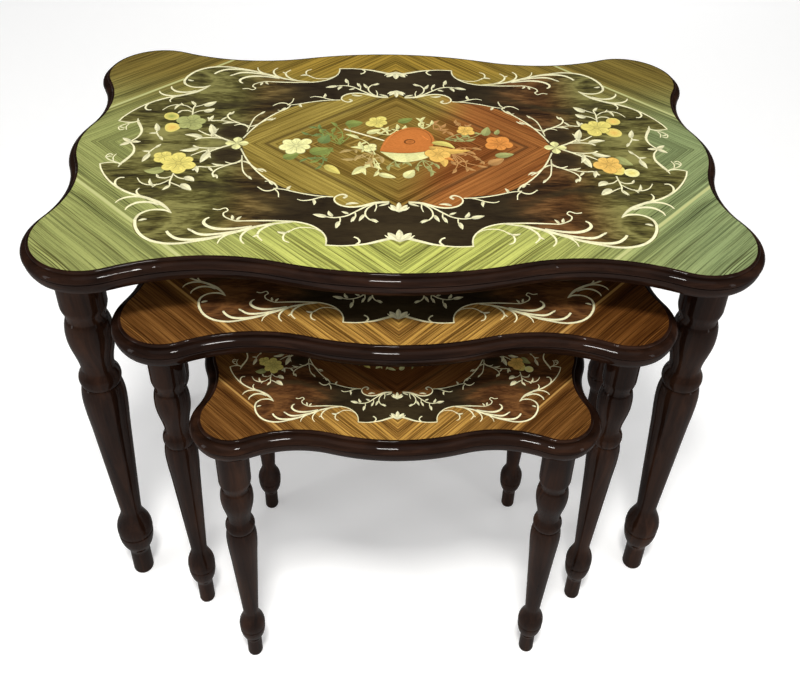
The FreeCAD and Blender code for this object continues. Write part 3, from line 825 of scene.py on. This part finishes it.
# Buds of the bouquet: (base, tip, width, tint).
BUDS = [
    ((-64, -34), (-50, -48), 9.0, YELLOW), ((-29, -36), (-40, -49), 8.5, PALE),
    ((6, -53), (14, -40), 10.0, PALE), ((80, -30), (95, -20), 10.0, ROSE),
    ((-17, -47), (-2, -53), 7.0, PALE), ((-28, 20), (-15, 28), 7.5, PALE),
]


def spray_twig(sheet, root, tip, hand, length, tint):
    """One curved twig with a leaf at its tip and a smaller one on its side; hand is the side, 1 or -1."""
    run = (tip[0] - root[0], tip[1] - root[1])
    reach = math.hypot(*run)
    swing = 0.16 * hand
    middle = ((root[0] + tip[0]) / 2 - run[1] * swing, (root[1] + tip[1]) / 2 + run[0] * swing)
    sheet.layer = 0
    sheet.stroke([root, middle, tip], (1.3, 1.0, 0.7), tint)
    sheet.layer = 1
    curve = spline([root, middle, tip], 8)
    start = max(0.0, 1 - length / reach)
    base = curve[int(start * (len(curve) - 1))]
    sheet.leaf(base, tip, length * 0.42, tint, swing * 0.6)
    side = curve[int(0.55 * (len(curve) - 1))]
    side_tip = (side[0] + run[1] / reach * length * 0.6 * hand,
                side[1] - run[0] / reach * length * 0.6 * hand)
    sheet.leaf(side, side_tip, length * 0.26, tint)


def bouquet(sheet):
    """Sprays, flowers and a lute in the middle of the medallion."""
    for root, tips, length, tint in SPRAYS:
        for number, tip in enumerate(tips):
            spray_twig(sheet, root, tip, 1 if number % 2 else -1, length, tint)
    sheet.layer = 2
    sheet.stroke([(-49, 27.5), (-30, 17.5), (-12, 8)], (2.6, 2.0, 2.0), CREAM)
    for centre, radii, turn, tint in BROAD_LEAVES:
        tip = (centre[0] + radii[0] * math.cos(turn), centre[1] + radii[0] * math.sin(turn))
        base = (centre[0] - radii[0] * math.cos(turn), centre[1] - radii[0] * math.sin(turn))
        sheet.leaf(base, tip, radii[1] * 2, tint)
    for base, tip, width, tint in BUDS:
        sheet.leaf(base, tip, width, tint)
    sheet.layer = 3
    sheet.blossom((-91, -3), 14.5, 7, PALE, 0.3)
    sheet.blossom((-18, 41), 10.5, 5, YELLOW, 0.5)
    sheet.blossom((63, 27), 8.6, 5, GOLD, 0.2)
    sheet.blossom((93, 5), 12.6, 5, ORANGE, 0.5)
    sheet.blossom((-25, -5), 7.0, 4, PALE, 0.3)
    lute(sheet)
    sheet.layer = 9
    sheet.leaf((28, -2), (66, -7), 9.5, GOLD, -0.12)
    sheet.leaf((31, 5), (52, -4), 8.0, YELLOW, 0.15)
    sheet.blossom((36, -14), 11.5, 4, GOLD, 0.7)
    sheet.leaf((37, -18), (41, -35), 8.5, GOLD, 0.1)
    sheet.leaf((41, -8), (50, -25), 7.0, ORANGE, -0.2)


# Steps between two given points of the lute's ribs; every second stretch of ribs is paler.
RIB_STEPS = 6


def lute(sheet):
    """The lute: a pear-shaped body, its pale ribs in front, a rim, a rosette and a bridge."""
    sheet.layer = 6
    belly = spline([(-16, -11), (-2, -26), (8, -27.8), (20, -24), (29, -17), (29, -9)], RIB_STEPS)
    ridge = spline([(-16, -11), (-4, -13), (6, -13.5), (15, -12.5), (23, -10.5), (29, -9)], RIB_STEPS)
    for i in range(len(belly) - 1):
        shaded = toned(PALE, 1.0 if (i // RIB_STEPS) % 2 else 0.90)
        at_ridge = toned(shaded, 0.86)
        sheet.face([ridge[i], ridge[i + 1], belly[i + 1], belly[i]], [at_ridge, at_ridge, shaded, shaded])
    sheet.layer = 7
    body = spline([(-16, -10), (-14, 0), (-10, 12), (-2, 23), (9, 31), (20, 31.5), (29, 25),
                   (33.5, 14), (33, 3), (29, -6), (22, -10.5), (10, -12.5), (-4, -12.5), (-16, -10)], 5)
    middle = (11, 9)
    for i in range(len(body) - 1):
        sheet.face([middle, body[i], body[i + 1]], [toned(PEAR, 1.12), PEAR, PEAR])
    sheet.layer = 8
    inner_rim = [(-9, 10), (0, 22), (10, 28.5), (20, 29), (27.5, 23), (31, 13), (30.5, 4)]
    sheet.stroke(inner_rim, (0.7, 0.9, 0.7), toned(PEAR, 0.5))
    outer_rim = [(-15, -9.5), (-12, 1), (-8, 12), (-1, 22), (9, 29.8)]
    sheet.stroke(outer_rim, (1.6, 1.6, 0.8), toned(PEAR, 1.3))
    sheet.disc((11, 6.5), (5.4, 4.6), 0.3, toned(PEAR, 0.42), SCORCH)
    sheet.layer = 9
    sheet.disc((11.4, 6.2), (4.0, 3.2), 0.3, PEAR, toned(PEAR, 0.7))
    sheet.stroke([(22, 18.5), (25, 14), (28, 10.5)], (1.4, 1.0), toned(PEAR, 1.5))


def lay_marquetry():
    """Three inlaid objects on each table, which move with it."""
    for name, table in TABLES.items():
        scrolls = scrollwork(name, table)
        sheet = Sheet()
        sheet.layer = 4
        side_flowers(sheet)
        blooms = sheet.mesh(f"{name}_inlay_side_flowers", table)
        sheet = Sheet()
        bouquet(sheet)
        middle = sheet.mesh(f"{name}_inlay_bouquet", table, BOUQUET_SIZES[name])
        for piece in (scrolls, blooms, middle):
            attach(piece, f"{name}_table")


# ---------------------------------------------------------------- studio

# The camera's place is measured from the large table's middle line. Angles are in degrees; the lens and
# the sensor are in millimetres.
CAMERA_PLACE = (-0.0166, -0.6951, 0.9074)
CAMERA_PITCH = 41.064
CAMERA_YAW = -3.584
CAMERA_ROLL = -2.696
SENSOR_WIDTH = 36.0
LENS = 39.825
LENS_SHIFT = (-0.025, -0.058125)

# The room is bright in front of the tables and dim behind them, so that the polished tops stay clear.
ROOM_FRONT = 0.62
ROOM_BACK = 0.14
# Where the room starts and ends to fade, as the backward part of the direction looked in.
ROOM_FADE = (-0.15, 0.55)

WHITE = (1.0, 1.0, 1.0)
WARM_WHITE = (1.0, 0.985, 0.96)
# Lights: name, place, point aimed at, width and height, watts, colour.
LIGHTS = (
    ("key", (-0.05, -0.75, 1.85), (0, -0.10, 0.45), (0.20, 0.20), 21.0, WARM_WHITE),
    ("overhead", (0.0, -0.7, 3.0), (0, 0, 0), (2.6, 2.2), 13.0, WHITE),
    ("rim", (0.3, 2.6, 0.7), (0, 0, 0.3), (1.6, 0.5), 9.0, WHITE),
    ("window_left", (-2.2, -1.0, 0.9), (0, 0, 0.35), (0.35, 1.3), 9.0, WHITE),
    ("window_right", (2.0, -1.6, 0.9), (0, 0, 0.35), (0.3, 1.2), 6.0, WHITE),
)

FLOOR_REACH = 9.0
# The floor lies just below the feet, and glows a little, like paper lit from behind.
FLOOR_DROP = 0.0005
FLOOR_GLOW = 0.25


def make_camera():
    """A camera above the front, looking down at the tops."""
    pitch, yaw, roll = (math.radians(angle) for angle in (CAMERA_PITCH, CAMERA_YAW, CAMERA_ROLL))
    turn = Matrix.Rotation(yaw, 3, "Z")
    forward = turn @ Vector((0, math.cos(pitch), -math.sin(pitch)))
    level = turn @ Vector((1, 0, 0))
    plumb = forward.cross(level)
    right = level * math.cos(roll) + plumb * math.sin(roll)
    down = plumb * math.cos(roll) - level * math.sin(roll)
    data = bpy.data.cameras.new("camera")
    data.sensor_width = SENSOR_WIDTH
    data.lens = LENS
    data.shift_x, data.shift_y = LENS_SHIFT
    data.clip_start = 0.02
    camera = bpy.data.objects.new("camera", data)
    place = Vector(CAMERA_PLACE) + Vector((0, TABLES["large"]["centre"], 0))
    camera.matrix_world = Matrix((
        (right.x, -down.x, -forward.x, place.x),
        (right.y, -down.y, -forward.y, place.y),
        (right.z, -down.z, -forward.z, place.z),
        (0, 0, 0, 1),
    ))
    bpy.context.scene.collection.objects.link(camera)
    bpy.context.scene.camera = camera


def area_light(name, place, target, size, power, colour):
    data = bpy.data.lights.new(name, "AREA")
    data.shape = "RECTANGLE"
    data.size, data.size_y = size
    data.energy = power
    data.color = colour
    light = bpy.data.objects.new(name, data)
    light.location = place
    light.rotation_euler = (Vector(target) - Vector(place)).to_track_quat("-Z", "Y").to_euler()
    bpy.context.scene.collection.objects.link(light)


def make_floor():
    shader = Shader("floor_paper")
    speck = shader.noise(shader.position(), scale=40.0, detail=2.0)
    material = shader.finish(shader.ramp(speck, FLOOR_WHITE), 0.9)
    shader.feed(shader.surface.inputs["Emission Color"], WHITE)
    shader.surface.inputs["Emission Strength"].default_value = FLOOR_GLOW
    mesh = bpy.data.meshes.new("floor")
    mesh.from_pydata([(-FLOOR_REACH, -FLOOR_REACH, 0), (FLOOR_REACH, -FLOOR_REACH, 0),
                      (FLOOR_REACH, FLOOR_REACH, 0), (-FLOOR_REACH, FLOOR_REACH, 0)], [], [(0, 1, 2, 3)])
    mesh.materials.append(material)
    floor = bpy.data.objects.new("floor", mesh)
    floor.location.z = -FLOOR_DROP
    bpy.context.scene.collection.objects.link(floor)


def make_room():
    """The light of the room itself, fading from front to back."""
    world = bpy.data.worlds.new("studio")
    world.use_nodes = True
    tree = world.node_tree
    background = tree.nodes["Background"]
    direction = tree.nodes.new("ShaderNodeTexCoord")
    parts = tree.nodes.new("ShaderNodeSeparateXYZ")
    fade = tree.nodes.new("ShaderNodeMapRange")
    fade.interpolation_type = "SMOOTHSTEP"
    fade.inputs["From Min"].default_value, fade.inputs["From Max"].default_value = ROOM_FADE
    fade.inputs["To Min"].default_value = ROOM_FRONT
    fade.inputs["To Max"].default_value = ROOM_BACK
    tree.links.new(direction.outputs["Generated"], parts.inputs[0])
    tree.links.new(parts.outputs["Y"], fade.inputs["Value"])
    tree.links.new(fade.outputs["Result"], background.inputs["Strength"])
    background.inputs["Color"].default_value = (*WHITE, 1.0)
    bpy.context.scene.world = world


def make_studio():
    bpy.context.scene.view_settings.view_transform = "Standard"
    make_room()
    make_floor()
    for light in LIGHTS:
        area_light(*light)


dress_cad()
lay_marquetry()
make_camera()
make_studio()
